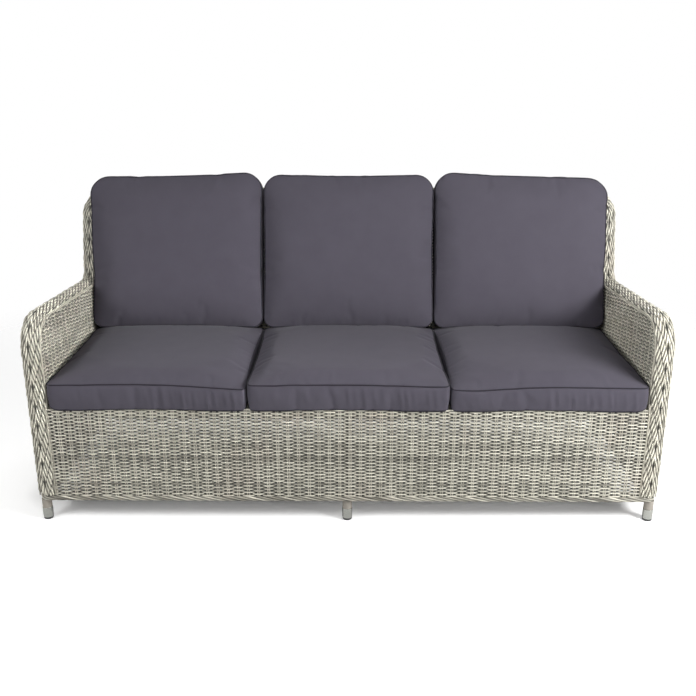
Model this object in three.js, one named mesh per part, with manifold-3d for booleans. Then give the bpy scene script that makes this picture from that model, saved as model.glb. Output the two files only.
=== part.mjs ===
// Garden sofa for three: woven skins over an aluminium tube frame, six feet and six loose cushions.
// Millimetres. X runs along the seat, the front faces -Y, Z is up and the feet stand on Z = 0.
// Each piece is drawn with its Y measured from the front face, and the whole is centred at the end.

import * as THREE from 'three';
import { mergeVertices } from 'three/addons/utils/BufferGeometryUtils.js';
import Module from 'manifold-3d';

const wasm = await Module();
wasm.setup();

const { degToRad } = THREE.MathUtils;

// Clearances: between pieces that touch, and round a tube inside its woven skin
const fit = 0.3;
const slack = 0.5;

// Seat
const seatCount = 3;
const cushionWidth = 600;
const cushionGap = 3;
const seatHeight = 381;
const seatDepth = 585;

// Arms: a half-round band runs up the front, over the arm and up the back
const weave = 5;
const bandWidth = 57;
const bandDepth = 28;
const bandCrown = 16;
const armHeight = 662;
const armSlope = degToRad(3.85);
const armBendRadius = 100;
const elbowRadius = 35;

// Back
const recline = degToRad(15.5);
const backAboveArm = 275;
const backThickness = 50;
const backCornerRadius = 100;

// Base
const legBehindSeat = 95;
const footHeight = 70;
const ropeDepth = 12;
const skirtSetback = 8;
const skirtEdgeSetback = 3;
const skirtEdgeHeight = 20;
const skirtEdgeRound = 5;

// Frame tubes
const tubeWall = 2;
const railSize = 25;
const rearRailDepth = 60;
const baseRailSize = 20;
const centreLegSize = 25;

// Seat deck of crossed straps
const deckStrap = 55;
const deckOpening = 85;
const deckSideTuck = 8;

// Feet
const legRadius = 15;
const legWall = 2.4;
const legSetback = 25;
const sleeveHeight = 33;
const sleeveWall = 2.7;
const sleeveProud = 0.8;
const sleeveChamfer = 1;
const spigotLength = 16;
const gliderHeight = 7;
const gliderRound = 3;
const gliderStem = 15;

// Seat cushions
const seatCushionSetback = 2;
const seatCushionClearance = 8;
const seatCushionEdge = 78;
const seatCushionCrown = 16;
const seatCushionCorner = 22;

// Back cushions
const backCushionAboveBack = 32;
const backCushionEdge = 80;
const backCushionCrown = 36;
const backCushionTopCorner = 66;
const backCushionLowCorner = 34;
const backCushionLift = 2;

// Cushion edges: the boxing bulges out and each side is drawn in between its corners
const boxBulge = 4;
const sidePull = 5;

// Counts and shares of the curved forms
const bendSteps = 10;
const elbowSteps = 8;
const crownSteps = 8;
const footSides = 16;
const cushionCornerSteps = 4;
const cushionSideSteps = 7;
const cushionRingShares = [1, 0.95, 0.86, 0.72, 0.52, 0.27];
const cushionCrownPower = 3;

const wicker = { color: 0xbdb8a9, roughness: 0.75, metalness: 0 };
const paint = { color: 0xa9a497, roughness: 0.5, metalness: 0.3 };
const aluminium = { color: 0xc9cbcc, roughness: 0.25, metalness: 1 };
const plastic = { color: 0x2a2a2c, roughness: 0.6, metalness: 0 };
const fabric = { color: 0x57525f, roughness: 0.95, metalness: 0 };

const TURN = 2 * Math.PI;
const QUARTER = Math.PI / 2;
const SIDES = { left: -1, right: 1 };
const axisX = new THREE.Vector3(1, 0, 0);
const axisY = new THREE.Vector3(0, 1, 0);
const axisZ = new THREE.Vector3(0, 0, 1);

const sofa = new THREE.Group();

// Widths, depths and the back's height
const innerX = (seatCount * cushionWidth + (seatCount + 1) * cushionGap) / 2;
const outerX = innerX + bandWidth;
const seatPitch = cushionWidth + cushionGap;
const rearFace = seatDepth + legBehindSeat;
const seatCushionDepth = seatDepth - seatCushionSetback - seatCushionClearance;
const backHeight = armHeight + backAboveArm;

// Side view of the arm and the back, as (y, z)
const unit = (angle) => new THREE.Vector2(Math.cos(angle), Math.sin(angle));
const step = (from, angle, length) => unit(angle).multiplyScalar(length).add(from);

const armHeading = -armSlope;
const backHeading = QUARTER - recline;
const elbowHeading = (armHeading + backHeading) / 2;
const backFaceY = (z) => seatDepth + (z - seatHeight) * Math.tan(recline);

const bendCentre = new THREE.Vector2(armBendRadius, armHeight - armBendRadius * Math.cos(armSlope));
const armTopStart = step(bendCentre, armHeading + QUARTER, armBendRadius);
const armRun = (backFaceY(armTopStart.y) - armTopStart.x)
  / (Math.cos(armHeading) - Math.sin(armHeading) * Math.tan(recline));
const elbow = step(armTopStart, armHeading, armRun);
const elbowTangent = elbowRadius * Math.tan((backHeading - armHeading) / 2);
const elbowCentre = step(step(elbow, armHeading, -elbowTangent), armHeading + QUARTER, elbowRadius);
const elbowGap = fit / 2 / elbowRadius;

// A place on the back: its rise along the recline from the elbow, and its depth behind the front face
const onBack = (rise, depth) => step(step(elbow, backHeading, rise), -recline, depth);
const riseAt = (z, depth) => (z - elbow.y + depth * Math.sin(recline)) / Math.cos(recline);
const backRise = riseAt(backHeight, 0);
const cornerRise = backRise - backCornerRadius;
const backCore = backThickness - weave - fit;

// Heights and depths of the base
const baseTop = footHeight + fit + baseRailSize;
const skirtFoot = baseTop + fit;
const railTop = seatHeight - weave - fit;
const railFoot = railTop - railSize;
const frontRailY = bandDepth + 2 * slack;
const legBackY = 2 * bandCrown - weave - slack;
const postFrontY = rearFace - backThickness + weave + slack;
const sideRailX = (innerX + outerX) / 2;
const rearRailY = postFrontY - fit - rearRailDepth;

function arc(centre, radius, from, to, steps) {
  const points = [];
  for (let i = 0; i <= steps; i++) points.push(step(centre, from + (to - from) * i / steps, radius));
  return points;
}

// The elbow from the middle of its bend down to the arm, or up to the back
const elbowLow = (inset) => arc(elbowCentre, elbowRadius + inset,
  armHeading - QUARTER, elbowHeading - QUARTER - elbowGap, elbowSteps);
const elbowHigh = (inset) => arc(elbowCentre, elbowRadius + inset,
  elbowHeading - QUARTER + elbowGap, backHeading - QUARTER, elbowSteps);

// The arm's outline from a foot height to the elbow, moved in by an inset
function armProfile(inset, foot) {
  const bend = arc(bendCentre, armBendRadius - inset, Math.PI, armHeading + QUARTER, bendSteps);
  return [new THREE.Vector2(inset, foot), ...bend, ...elbowLow(inset)];
}

// The arm tube's line, which runs straight on to the face of the back post
function armTubeProfile(inset) {
  const bend = arc(bendCentre, armBendRadius - inset, Math.PI, armHeading + QUARTER, bendSteps);
  const target = weave + slack - fit - inset * Math.sin(recline - armSlope);
  const run = armRun + target / Math.cos(recline - armSlope);
  return [new THREE.Vector2(inset, skirtFoot), ...bend, step(bend.at(-1), armHeading, run)];
}

// The back edge's outline from the elbow up to the corner
const backEdgeProfile = (depth) => [...elbowHigh(depth), onBack(cornerRise - fit, depth)];

// Where a line behind the back's front face turns down into the rear legs
function rearBend(depth) {
  const y = rearFace - backThickness + depth;
  const z = seatHeight + (y - seatDepth - depth / Math.cos(recline)) / Math.tan(recline);
  return new THREE.Vector2(y, z);
}

const postProfile = (depth) => [
  new THREE.Vector2(rearFace - backThickness + depth, skirtFoot),
  rearBend(depth),
  onBack(cornerRise - fit, depth),
];

// The top of the back as (x, rise), from one corner to the other, moved in by an inset
function topProfile(inset) {
  const radius = backCornerRadius - inset;
  const centreX = outerX - backCornerRadius;
  const left = new THREE.Vector2(-centreX, cornerRise);
  const right = new THREE.Vector2(centreX, cornerRise);
  return [
    ...arc(left, radius, Math.PI, QUARTER, bendSteps),
    ...arc(right, radius, QUARTER, 0, bendSteps),
  ];
}

// A closed body from its corners and faces, turned so that every face points out
function closedBody(corners, faces) {
  let volume = 0;
  for (let i = 0; i < faces.length; i += 3) {
    const [a, b, c] = [corners[faces[i]], corners[faces[i + 1]], corners[faces[i + 2]]];
    volume += a.dot(b.clone().cross(c));
  }
  const geometry = new THREE.BufferGeometry().setFromPoints(corners);
  geometry.setIndex(volume < 0 ? faces.toReversed() : faces);
  geometry.computeVertexNormals();
  return geometry;
}

// A section, with or without a hole, carried through a number of stations by a place function
function sweep(loops, stations, place) {
  const turned = loops.map((loop, i) => {
    const clockwise = THREE.ShapeUtils.isClockWise(loop);
    return clockwise === (i > 0) ? loop : loop.toReversed();
  });
  const section = turned.flat();
  const corners = [];
  for (let i = 0; i < stations; i++) {
    for (const point of section) corners.push(place(point, i));
  }
  const faces = [];
  let first = 0;
  for (const loop of turned) {
    for (let j = 0; j < loop.length; j++) {
      const a = first + j;
      const b = first + (j + 1) % loop.length;
      for (let near = 0; near < corners.length - section.length; near += section.length) {
        const far = near + section.length;
        faces.push(near + a, near + b, far + b, near + a, far + b, far + a);
      }
    }
    first += loop.length;
  }
  const end = corners.length - section.length;
  for (const face of THREE.ShapeUtils.triangulateShape(turned[0], turned.slice(1))) {
    const clockwise = THREE.ShapeUtils.isClockWise(face.map((i) => section[i]));
    const [a, b, c] = clockwise ? face.toReversed() : face;
    faces.push(c, b, a, end + a, end + b, end + c);
  }
  return closedBody(corners, faces);
}

function add(name, geometry, finish, parent = sofa) {
  const mesh = new THREE.Mesh(geometry, new THREE.MeshStandardMaterial(finish));
  mesh.name = name;
  parent.add(mesh);
  return mesh;
}

// The band's section as (across, depth): a half-round crown with two side walls, open underneath
function bandSection(depth) {
  const crown = (inset) => {
    const points = [];
    for (let i = 0; i <= crownSteps; i++) {
      const angle = Math.PI * i / crownSteps;
      points.push(new THREE.Vector2(
        bandWidth / 2 - (bandWidth / 2 - inset) * Math.cos(angle),
        bandCrown - (bandCrown - inset) * Math.sin(angle),
      ));
    }
    return points;
  };
  return [
    new THREE.Vector2(0, depth),
    ...crown(0),
    new THREE.Vector2(bandWidth, depth),
    new THREE.Vector2(bandWidth - weave, depth),
    ...crown(weave).reverse(),
    new THREE.Vector2(weave, depth),
  ];
}

// An oval tube inside a band, as (across, depth)
function ovalSection(centreDepth, halfDepth) {
  const loop = (wall) => arc(new THREE.Vector2(), 1, 0, TURN, 2 * crownSteps).slice(1).map((point) =>
    new THREE.Vector2(
      bandWidth / 2 + point.x * (bandWidth / 2 - weave - slack - wall),
      centreDepth + point.y * (halfDepth - wall),
    ));
  return [loop(0), loop(tubeWall)];
}

// A section of (across, depth) that follows a side profile on one side of the sofa
function sideSweep(loops, profile, side) {
  return sweep(loops, profile(0).length, (point, i) => {
    const place = profile(point.y)[i];
    return new THREE.Vector3(side * (outerX - point.x), place.x, place.y);
  });
}

// A section of (across, depth) that follows the top of the back
function topSweep(loops) {
  return sweep(loops, topProfile(0).length, (point, i) => {
    const { x, y: rise } = topProfile(point.x)[i];
    const place = onBack(rise, point.y);
    return new THREE.Vector3(x, place.x, place.y);
  });
}

// Turns a shape that is extruded along its own Z to run along X, Y or Z
const runs = {
  x: new THREE.Matrix4().makeBasis(axisY, axisZ, axisX),
  y: new THREE.Matrix4().makeBasis(axisZ, axisX, axisY),
  z: new THREE.Matrix4().makeBasis(axisX, axisY, axisZ),
};
const sectionAxes = { x: ['y', 'z'], y: ['z', 'x'], z: ['x', 'y'] };

function rectangle(width, height) {
  const shape = new THREE.Shape();
  shape.moveTo(-width / 2, -height / 2);
  shape.lineTo(width / 2, -height / 2);
  shape.lineTo(width / 2, height / 2);
  shape.lineTo(-width / 2, height / 2);
  return shape;
}

function extrudeBetween(shape, along, [from, to]) {
  const options = { depth: to - from, bevelEnabled: false, curveSegments: crownSteps };
  return new THREE.ExtrudeGeometry(shape, options).translate(0, 0, from).applyMatrix4(runs[along]);
}

// A bar that fills the given spans of X, Y and Z, with a section made for its two cross sizes
function bar(name, along, spans, finish, makeShape) {
  const size = (axis) => spans[axis][1] - spans[axis][0];
  const middle = { x: 0, y: 0, z: 0 };
  const [u, v] = sectionAxes[along];
  for (const axis of [u, v]) middle[axis] = (spans[axis][0] + spans[axis][1]) / 2;
  const geometry = extrudeBetween(makeShape(size(u), size(v)), along, spans[along]);
  add(name, geometry.translate(middle.x, middle.y, middle.z), finish);
}

function tubeShape(width, height) {
  const shape = rectangle(width, height);
  shape.holes.push(rectangle(width - 2 * tubeWall, height - 2 * tubeWall));
  return shape;
}

function ovalShape(width, height) {
  return new THREE.Shape().absellipse(0, 0, width / 2, height / 2, 0, TURN);
}

const rail = (name, along, spans) => bar(name, along, spans, paint, tubeShape);
const rope = (name, along, spans) => bar(name, along, spans, wicker, ovalShape);
const both = (x) => [-x, x];
const span = (from, size) => [from, from + size];

// Spans on one side of the sofa, given for the right side
const mirrored = ([from, to], side) => (side > 0 ? [from, to] : [-to, -from]);

function addArmsAndBackFrame() {
  const armOval = ovalSection(bandCrown, bandCrown - weave - slack);
  const backOval = ovalSection(backThickness / 2, backThickness / 2 - weave - slack);
  for (const [name, side] of Object.entries(SIDES)) {
    add(`arm_tube_${name}`, sideSweep(armOval, armTubeProfile, side), paint);
    add(`back_post_${name}`, sideSweep(backOval, postProfile, side), paint);
  }
  add('back_top_rail', topSweep(backOval), paint);

  const innerDepth = weave + fit;
  const upright = rectangle(railSize, backCore - innerDepth).getPoints();
  const hollow = rectangle(railSize - 2 * tubeWall, backCore - innerDepth - 2 * tubeWall).getPoints();
  const geometry = sweep([upright, hollow], 2, (point, i) => {
    const depth = point.y + (innerDepth + backCore) / 2;
    const rise = i ? backRise - bandWidth - fit : riseAt(railTop + fit, depth);
    const place = onBack(rise, depth);
    return new THREE.Vector3(point.x, place.x, place.y);
  });
  add('back_upright', geometry, paint);
}

function addSeatFrame() {
  const height = [railFoot, railTop];
  const across = both(sideRailX - railSize / 2 - fit);
  rail('seat_rail_front', 'x', { x: across, y: span(frontRailY, railSize), z: height });
  rail('seat_rail_rear', 'x', { x: across, y: span(rearRailY, rearRailDepth), z: height });
  for (const [name, side] of Object.entries(SIDES)) {
    const x = mirrored(span(sideRailX - railSize / 2, railSize), side);
    rail(`seat_rail_${name}`, 'y', { x, y: [legBackY + fit, postFrontY - fit], z: height });
  }
  const y = [frontRailY + railSize + fit, rearRailY - fit];
  rail('seat_cross_bar', 'y', { x: both(railSize / 2), y, z: height });
}

function addBaseFrame() {
  const z = [footHeight + fit, baseTop];
  const edge = ropeDepth + fit;
  const frontY = span(edge, baseRailSize);
  const rearY = span(rearFace - edge - baseRailSize, baseRailSize);
  const x = both(outerX - edge);
  rail('base_rail_front', 'x', { x, y: frontY, z });
  rail('base_rail_rear', 'x', { x, y: rearY, z });
  for (const [name, side] of Object.entries(SIDES)) {
    const sideX = mirrored(span(outerX - edge - baseRailSize, baseRailSize), side);
    rail(`base_rail_${name}`, 'y', { x: sideX, y: [frontY[1] + fit, rearY[0] - fit], z });
  }
  const legs = {
    front: (frontY[1] + frontRailY) / 2,
    rear: (rearY[0] + rearRailY + rearRailDepth) / 2,
  };
  for (const [name, middle] of Object.entries(legs)) {
    const y = span(middle - centreLegSize / 2, centreLegSize);
    rail(`centre_leg_${name}`, 'z', { x: both(centreLegSize / 2), y, z: [skirtFoot, railFoot - fit] });
  }
  rope('base_rope_front', 'x', { x: both(outerX), y: [0, ropeDepth], z });
  rope('base_rope_rear', 'x', { x: both(outerX), y: [rearFace - ropeDepth, rearFace], z });
  for (const [name, side] of Object.entries(SIDES)) {
    const ropeX = mirrored([outerX - ropeDepth, outerX], side);
    rope(`base_rope_${name}`, 'y', { x: ropeX, y: [ropeDepth + fit, rearFace - ropeDepth - fit], z });
  }
}

// Outline of a side or an inner arm face, as (y, z), under the band and in front of the rear skin
const sideOutline = (foot) => [
  ...armProfile(bandDepth + fit, foot),
  ...elbowHigh(backCore),
];

function addArmSkins() {
  const outer = new THREE.Shape([
    ...sideOutline(skirtFoot),
    rearBend(backCore),
    new THREE.Vector2(rearFace - weave - fit, skirtFoot),
  ]);
  const deck = seatHeight + fit;
  const inner = new THREE.Shape([
    ...sideOutline(deck),
    onBack(riseAt(deck, backCore), backCore),
  ]);
  const armBand = (inset) => armProfile(inset, skirtFoot);
  for (const [name, side] of Object.entries(SIDES)) {
    add(`arm_band_${name}`, sideSweep([bandSection(bandDepth)], armBand, side), wicker);
    const outerSpan = mirrored([outerX - weave, outerX], side);
    const innerSpan = mirrored([innerX, innerX + weave], side);
    add(`side_panel_${name}`, extrudeBetween(outer, 'x', outerSpan), wicker);
    add(`arm_inner_panel_${name}`, extrudeBetween(inner, 'x', innerSpan), wicker);
  }
}

// The front skirt with its thicker close-woven top edge, which wraps the front seat rail
function addFrontSkirt() {
  const edgeFoot = seatHeight - skirtEdgeHeight;
  const roundCentre = new THREE.Vector2(skirtEdgeSetback + skirtEdgeRound, seatHeight - skirtEdgeRound);
  const shape = new THREE.Shape([
    new THREE.Vector2(skirtSetback, skirtFoot),
    new THREE.Vector2(skirtSetback, edgeFoot),
    new THREE.Vector2(skirtEdgeSetback, edgeFoot),
    ...arc(roundCentre, skirtEdgeRound, Math.PI, QUARTER, crownSteps / 2),
    new THREE.Vector2(frontRailY - fit, seatHeight),
    new THREE.Vector2(frontRailY - fit, edgeFoot),
    new THREE.Vector2(skirtSetback + weave, edgeFoot),
    new THREE.Vector2(skirtSetback + weave, skirtFoot),
  ]);
  add('front_skirt', extrudeBetween(shape, 'x', both(innerX - fit)), wicker);
}

function solidOf(geometry) {
  const bare = geometry.clone().deleteAttribute('normal').deleteAttribute('uv');
  const merged = mergeVertices(bare);
  return new wasm.Manifold(new wasm.Mesh({
    numProp: 3,
    vertProperties: merged.attributes.position.array,
    triVerts: new Uint32Array(merged.index.array),
  }));
}

// One body from boxes that cross each other
function joined(geometries) {
  const mesh = geometries.map(solidOf).reduce((whole, solid) => whole.add(solid)).getMesh();
  const geometry = new THREE.BufferGeometry();
  geometry.setAttribute('position', new THREE.BufferAttribute(mesh.vertProperties, mesh.numProp));
  geometry.setIndex(new THREE.BufferAttribute(mesh.triVerts, 1));
  geometry.computeVertexNormals();
  return geometry;
}

// The woven deck: straps along and across with open squares between them
function addSeatDeck() {
  const x = both(sideRailX - railSize / 2 + deckSideTuck);
  const y = [frontRailY, onBack(riseAt(railTop, weave), weave).x - slack];
  const width = x[1] - x[0];
  const depth = y[1] - y[0];
  const columns = Math.floor((width - deckStrap) / (deckStrap + deckOpening));
  const rows = Math.floor((depth - deckStrap) / (deckStrap + deckOpening));
  const straps = [];
  for (let i = 0; i <= columns; i++) {
    const strapX = x[0] + deckStrap / 2 + (width - deckStrap) * i / columns;
    straps.push(new THREE.BoxGeometry(deckStrap, depth, weave).translate(strapX, (y[0] + y[1]) / 2, 0));
  }
  for (let j = 0; j <= rows; j++) {
    const strapY = y[0] + deckStrap / 2 + (depth - deckStrap) * j / rows;
    straps.push(new THREE.BoxGeometry(width, deckStrap, weave).translate(0, strapY, 0));
  }
  add('seat_deck', joined(straps).translate(0, 0, seatHeight - weave / 2), wicker);
}

// The back's own frame: X across, Y up along the recline, Z towards the sitter
const backFrame = new THREE.Group();
backFrame.position.set(0, elbow.x, elbow.y);
backFrame.rotation.x = backHeading;
sofa.add(backFrame);

function addBackSkins() {
  for (const [name, side] of Object.entries(SIDES)) {
    const section = [bandSection(backCore - fit)];
    add(`back_edge_band_${name}`, sideSweep(section, backEdgeProfile, side), wicker);
  }
  add('back_top_band', topSweep([bandSection(backCore - fit)]), wicker);

  const panel = (sideX, foot, edge, depth) => {
    const shape = new THREE.Shape([
      new THREE.Vector2(sideX, foot),
      ...topProfile(edge).reverse(),
      new THREE.Vector2(-sideX, foot),
    ]);
    return extrudeBetween(shape, 'z', [-depth - weave, -depth]);
  };
  const innerFoot = riseAt(seatHeight + fit, weave);
  const innerEdge = bandWidth + fit;
  add('back_inner_panel', panel(outerX - innerEdge, innerFoot, innerEdge, 0), wicker, backFrame);
  const rearTop = rearBend(backThickness).y;
  const outerFoot = riseAt(rearTop + fit, backThickness);
  add('back_outer_panel', panel(outerX, outerFoot, 0, backThickness - weave), wicker, backFrame);

  const skirt = rectangle(2 * outerX, weave);
  const rearSkirt = extrudeBetween(skirt, 'z', [skirtFoot, rearTop]);
  add('rear_skirt', rearSkirt.translate(0, rearFace - weave / 2, 0), wicker);
}

// A turned piece from its profile as (radius, height), standing on its own origin
function turned(profile, parent, name, finish) {
  const points = profile.map(([radius, height]) => new THREE.Vector2(radius, height));
  const geometry = new THREE.LatheGeometry(points, footSides).applyMatrix4(runs.x);
  add(name, geometry, finish, parent);
}

// One foot: the painted end of the leg, its sleeve and the glide plugged into it
function addFoot(place, x, y) {
  const foot = new THREE.Group();
  foot.position.set(x, y, 0);
  sofa.add(foot);
  const sleeveTop = gliderHeight + sleeveHeight;
  const sleeveRadius = legRadius + sleeveProud;
  const boreRadius = sleeveRadius - sleeveWall;
  const spigotRadius = boreRadius - slack;
  const sleeveFoot = gliderHeight + fit;
  const legFoot = sleeveTop + fit;
  turned([
    [spigotRadius - legWall, sleeveTop - spigotLength],
    [spigotRadius, sleeveTop - spigotLength],
    [spigotRadius, legFoot],
    [legRadius, legFoot],
    [legRadius, footHeight],
    [spigotRadius - legWall, footHeight],
    [spigotRadius - legWall, sleeveTop - spigotLength],
  ], foot, `leg_end_${place}`, paint);
  turned([
    [boreRadius, sleeveFoot],
    [sleeveRadius - sleeveChamfer, sleeveFoot],
    [sleeveRadius, sleeveFoot + sleeveChamfer],
    [sleeveRadius, sleeveTop],
    [boreRadius, sleeveTop],
    [boreRadius, sleeveFoot],
  ], foot, `foot_sleeve_${place}`, aluminium);
  turned([
    [0, 0],
    [legRadius - gliderRound, 0],
    [legRadius, gliderRound],
    [legRadius, gliderHeight],
    [spigotRadius, gliderHeight],
    [spigotRadius, gliderHeight + gliderStem],
    [0, gliderHeight + gliderStem],
  ], foot, `foot_glide_${place}`, plastic);
}

function addFeet() {
  const columns = { left: legRadius - outerX, centre: 0, right: outerX - legRadius };
  const rows = { front: legSetback, rear: rearFace - legSetback };
  for (const [column, x] of Object.entries(columns)) {
    for (const [row, y] of Object.entries(rows)) addFoot(`${row}_${column}`, x, y);
  }
}

// The seam line of a cushion as (x, y), with round corners and sides drawn in between them
function cushionOutline(width, length, lowCorner, topCorner) {
  const corners = [
    { x: 1, y: -1, radius: lowCorner },
    { x: 1, y: 1, radius: topCorner },
    { x: -1, y: 1, radius: topCorner },
    { x: -1, y: -1, radius: lowCorner },
  ];
  const arcs = corners.map(({ x, y, radius }, i) => {
    const centre = new THREE.Vector2(x * (width / 2 - radius), y * (length / 2 - radius));
    return arc(centre, radius, (i - 1) * QUARTER, i * QUARTER, cushionCornerSteps);
  });
  const outline = [];
  arcs.forEach((points, i) => {
    outline.push(...points);
    const next = arcs[(i + 1) % arcs.length][0];
    for (let k = 1; k < cushionSideSteps; k++) {
      const share = k / cushionSideSteps;
      const pull = sidePull * Math.sin(Math.PI * share);
      const place = points.at(-1).clone().lerp(next, share);
      outline.push(step(place, i * QUARTER + Math.PI, pull));
    }
  });
  return outline;
}

// A boxed cushion: flat underneath, boxing that bulges, and a crowned face
function cushion({ length, edge, crown, lowCorner, topCorner }) {
  const width = cushionWidth - 2 * boxBulge;
  const height = length - 2 * boxBulge;
  const outline = cushionOutline(width, height, lowCorner, topCorner);
  const half = new THREE.Vector2(width / 2, height / 2);
  const ring = (shareX, shareY, z) => outline.map(({ x, y }) =>
    new THREE.Vector3(x * shareX, y * shareY, z));
  // Towards the middle of the crown the rings turn from the seam's shape into ovals
  const crownRing = (share) => outline.map((point) => {
    const oval = 1 / point.clone().divide(half).length();
    const reach = share * THREE.MathUtils.lerp(oval, 1, share);
    const z = edge + crown * (1 - share ** cushionCrownPower);
    return new THREE.Vector3(point.x * reach, point.y * reach, z);
  });
  const rings = [
    ring(1, 1, 0),
    ring(1 + 2 * boxBulge / width, 1 + 2 * boxBulge / height, edge / 2),
    ...cushionRingShares.map(crownRing),
  ];
  const corners = [...rings.flat(), new THREE.Vector3(), new THREE.Vector3(0, 0, edge + crown)];
  const count = outline.length;
  const last = (rings.length - 1) * count;
  const [base, top] = [corners.length - 2, corners.length - 1];
  const faces = [];
  for (let j = 0; j < count; j++) {
    const next = (j + 1) % count;
    faces.push(next, j, base, last + j, last + next, top);
    for (let near = 0; near < last; near += count) {
      const far = near + count;
      faces.push(near + j, near + next, far + next, near + j, far + next, far + j);
    }
  }
  return closedBody(corners, faces);
}

function addCushions() {
  const seatSize = {
    length: seatCushionDepth,
    edge: seatCushionEdge,
    crown: seatCushionCrown,
    lowCorner: seatCushionCorner,
    topCorner: seatCushionCorner,
  };
  const seatFoot = seatHeight + fit;
  const seatRear = new THREE.Vector2(seatCushionSetback + seatCushionDepth, seatFoot + seatCushionEdge);
  const standRise = seatRear.sub(elbow).dot(unit(backHeading)) + backCushionLift;
  const backCushionHeight = backRise + backCushionAboveBack - standRise;
  const backSize = {
    length: backCushionHeight,
    edge: backCushionEdge,
    crown: backCushionCrown,
    lowCorner: backCushionLowCorner,
    topCorner: backCushionTopCorner,
  };
  const places = { left: -seatPitch, middle: 0, right: seatPitch };
  for (const [name, x] of Object.entries(places)) {
    const seat = add(`seat_cushion_${name}`, cushion(seatSize), fabric);
    seat.position.set(x, seatCushionSetback + seatCushionDepth / 2, seatFoot);
    const back = add(`back_cushion_${name}`, cushion(backSize), fabric, backFrame);
    back.position.set(x, standRise + backCushionHeight / 2, fit);
  }
}

addArmsAndBackFrame();
addSeatFrame();
addBaseFrame();
addArmSkins();
addFrontSkirt();
addSeatDeck();
addBackSkins();
addFeet();
addCushions();

// The origin stands on the floor under the middle of the whole sofa
const reach = new THREE.Box3().setFromObject(sofa);
sofa.position.y = -(reach.min.y + reach.max.y) / 2;

export default sofa;
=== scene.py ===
import math

import bpy
import numpy as np
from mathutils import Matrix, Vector


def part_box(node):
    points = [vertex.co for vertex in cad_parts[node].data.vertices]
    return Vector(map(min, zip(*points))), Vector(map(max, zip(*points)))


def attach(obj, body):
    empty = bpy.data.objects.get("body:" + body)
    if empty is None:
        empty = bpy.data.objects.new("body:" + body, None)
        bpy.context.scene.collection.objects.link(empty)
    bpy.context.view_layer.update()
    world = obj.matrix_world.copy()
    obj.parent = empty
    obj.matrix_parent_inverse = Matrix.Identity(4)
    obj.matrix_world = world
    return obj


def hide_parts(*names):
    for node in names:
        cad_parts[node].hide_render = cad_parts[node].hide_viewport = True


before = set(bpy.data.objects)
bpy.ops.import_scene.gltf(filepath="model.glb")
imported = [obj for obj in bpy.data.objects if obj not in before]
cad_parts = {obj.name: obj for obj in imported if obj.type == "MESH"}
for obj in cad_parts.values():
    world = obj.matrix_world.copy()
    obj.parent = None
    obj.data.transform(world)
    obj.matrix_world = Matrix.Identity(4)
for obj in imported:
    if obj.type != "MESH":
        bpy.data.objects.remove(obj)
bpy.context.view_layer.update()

MM = 0.001
QUARTER = math.pi / 2
X, Y, Z = np.eye(3)
SIDES = {"left": -1, "right": 1}
SEATS = {"left": -1, "middle": 0, "right": 1}

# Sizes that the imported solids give
(inner_x, front_y, _), (outer_x, _, arm_height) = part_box("arm_band_right")
(_, skirt_face, skirt_foot), (_, skirt_back, seat_height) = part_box("front_skirt")
_, (_, rear_y, rear_top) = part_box("rear_skirt")
back_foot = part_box("back_inner_panel")[0].z

# Sizes of the side view and the band, as in the solids
ARM_SLOPE = math.radians(3.85)
ARM_BEND = 100 * MM
ELBOW_BEND = 35 * MM
RECLINE = math.radians(15.5)
SEAT_DEPTH = 585 * MM
BACK_HEIGHT = 937 * MM
BACK_THICKNESS = 50 * MM
BACK_CORNER = 100 * MM
BAND_CROWN = 16 * MM
BAND_DEPTH = 28 * MM

# Woven skins: doubled stakes with half-round strands laid over and under them
STAKE_PITCH = 31.6 * MM
STAKE_PHASE = 8.9 * MM
STAKE_APART = 3 * MM
STAKE_WIDTH = 5.3 * MM
STAKE_HEIGHT = 2 * MM
STAKE_SWAY = 0.35 * MM
ROW_PITCH = 5.65 * MM
STRAND_WIDTH = 5.6 * MM
STRAND_HEIGHT = 2.4 * MM
STRAND_RISE = (STAKE_HEIGHT + STRAND_HEIGHT) / 2
UNDER_SWELL = 0.36
END_SHARE = 0.55
RIPPLE = 0.5 * MM
SKIN_DEPTH = 3 * MM
SKIN_GAP = 3 * MM
TUCK = 5 * MM
ROWS_PER_PIECE = 36
WEAVE_SHARES = (-0.36, -0.27, 0.27, 0.36, 0.5)
TONES, TONE_ODDS = (0.8, 0.62, 0.4), (0.55, 0.3, 0.15)
DARK_ROW_SHIFT = 6

# The band over the arms and round the back: a plait with its fold in the middle
BAND_STRANDS = 14
BAND_STRAND_WIDTH = 5 * MM
BAND_STRAND_HEIGHT = 3 * MM
BAND_STAKE_WIDTH = 3.5 * MM
BAND_STAKE_HEIGHT = 1.6 * MM
BAND_RISE = 1.5 * MM
BAND_SWAY = 2.4 * MM
BAND_FOLD = (BAND_STRANDS - 1) / 2

# The close border along the top of the front skirt
EDGE_HEIGHT = 22 * MM
EDGE_STRAND = 5.4 * MM
EDGE_FACE_ROWS = 4
EDGE_CORNER = 5 * MM

# The seat deck: crossed straps of flat strands
DECK_STRAP = 55 * MM
DECK_OPENING = 85 * MM
DECK_STRANDS = 8
DECK_STRAND_HEIGHT = 2.2 * MM

# Half-round section of a strand as shares of its half width and its height
PROFILE = ((-1, 0), (-0.66, 0.72), (0, 1), (0.66, 0.72), (1, 0))

rng = np.random.default_rng(7)


# Geometry helpers

def unit(angle):
    return np.array([math.cos(angle), math.sin(angle)])


def normalised(vectors):
    return vectors / np.linalg.norm(vectors, axis=-1, keepdims=True)


def arc(centre, radius, start, end, step=math.radians(4)):
    """Points of an arc in the side view, and the angle of each from the centre."""
    angles = np.linspace(start, end, max(2, round(abs(end - start) / step) + 1))
    return [centre + unit(a) * radius for a in angles], angles


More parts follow.
